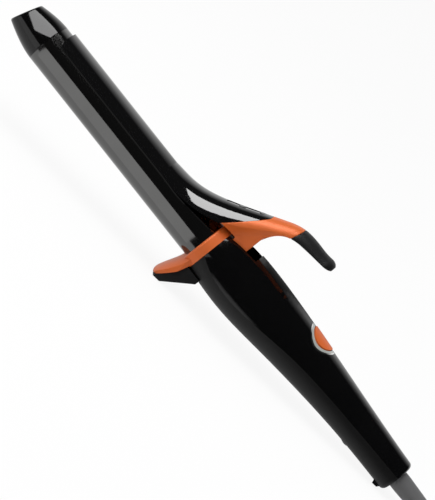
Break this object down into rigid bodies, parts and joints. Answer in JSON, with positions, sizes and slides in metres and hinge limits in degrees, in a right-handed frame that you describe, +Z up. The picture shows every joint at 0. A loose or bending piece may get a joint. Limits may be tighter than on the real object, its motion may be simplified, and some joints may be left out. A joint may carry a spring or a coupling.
{
  "type": "curling iron",
  "caption": "Hair curling iron: heated barrel with a sprung clip and thumb lever, two-shell handle with power button, stand fin and mains cord on a swivel.",
  "frame": {"origin": "middle of the fin's foot, on the surface that the iron stands on", "axes": "+Z up from that surface, +X from the barrel's tip towards the cord, +Y to the far side"},
  "size_m": [0.5444, 0.0608, 0.0734],
  "materials": {
    "barrel_coating": "glossy dark ceramic coating",
    "clip_enamel": "gloss black enamel on pressed steel",
    "black_gloss": "polished black moulding",
    "grey_matt": "fine matt dark grey moulding",
    "copper_orange": "satin metallic orange moulding",
    "soft_grip": "soft matt rubber",
    "ring_glow": "clouded light guide",
    "ring_chrome": "bright plated",
    "socket_phenolic": "heat-proof moulding",
    "spring_steel": "plain",
    "screw_steel": "zinc plated",
    "black_steel": "blackened",
    "board_green": "solder mask",
    "part_dark": "moulded case",
    "part_blue": "moulded case",
    "fuse_glass": "clear tube with plated caps",
    "lamp_red": "clear red",
    "heater_block": "milled",
    "heater_ceramic": "fired",
    "wire_silicone": "silicone sleeve",
    "wire_black": "insulated wire",
    "contact_brass": "turned",
    "cord_rubber": "smooth sheath",
    "relief_rubber": "moulded sleeve",
    "tie_strap": "woven hook-and-loop strap",
    "plug_black": "moulded on the cord",
    "pin_nickel": "nickel plated brass"
  },
  "bodies": {
    "handle": {"barrel_tube": "barrel_coating", "tip_cap": "black_gloss", "guard_collar": "copper_orange", "upper_shell": "black_gloss", "lower_shell": "grey_matt", "button_bezel": "ring_chrome", "light_ring": "ring_glow", "barrel_socket": "socket_phenolic", "hinge_bracket": "spring_steel", "bracket_screws": "screw_steel", "pivot_pin": "spring_steel", "pin_retainer": "spring_steel", "return_spring": "spring_steel", "button_spring": "spring_steel", "shell_screws": "screw_steel", "circuit_board": "board_green", "board_screws": "screw_steel", "power_switch": "part_dark", "triac": "part_dark", "capacitor": "part_blue", "line_fuse": "fuse_glass", "indicator_led": "lamp_red", "terminal_block": "part_dark", "heater_core_upper": "heater_block", "heater_core_lower": "heater_block", "heater_chips": "heater_ceramic", "thermal_cutout": "part_dark", "heater_leads": "wire_silicone", "mains_leads": "wire_black", "brush_contacts": "contact_brass", "brush_holders": "part_dark", "cord_run": "cord_rubber", "cord_hank": "cord_rubber", "cord_tie": "tie_strap", "cord_tail": "cord_rubber", "plug_body": "plug_black", "plug_pins": "pin_nickel"},
    "clip": {"clip_plate": "clip_enamel", "thumb_lever": "copper_orange", "thumb_grip": "soft_grip", "clip_rivets": "black_steel"},
    "button": {"power_button": "copper_orange", "switch_plunger": "part_dark"},
    "swivel": {"swivel_gland": "grey_matt", "slip_rings": "contact_brass", "strain_relief": "relief_rubber"}
  },
  "joints": [
    {"name": "lever_hinge", "type": "hinge", "parent": "handle", "child": "clip", "pos_m": [0.01947, 0, 0.04135], "axis": [0, 1, 0], "range_deg": [0, 22], "stiffness_Nm_per_rad": 0.4, "springref_deg": -22.92, "deforming": ["return_spring"]},
    {"name": "button_press", "type": "slide", "parent": "handle", "child": "button", "axis": [-0.1353, 0, -0.9908], "range_m": [0, 0.001], "stiffness_N_per_m": 800, "springref_m": -0.001, "deforming": ["button_spring"]},
    {"name": "cord_swivel", "type": "hinge", "parent": "handle", "child": "swivel", "pos_m": [0.16618, 0, 0.01072], "axis": [0.9908, 0, -0.1353], "continuous": true}
  ]
}
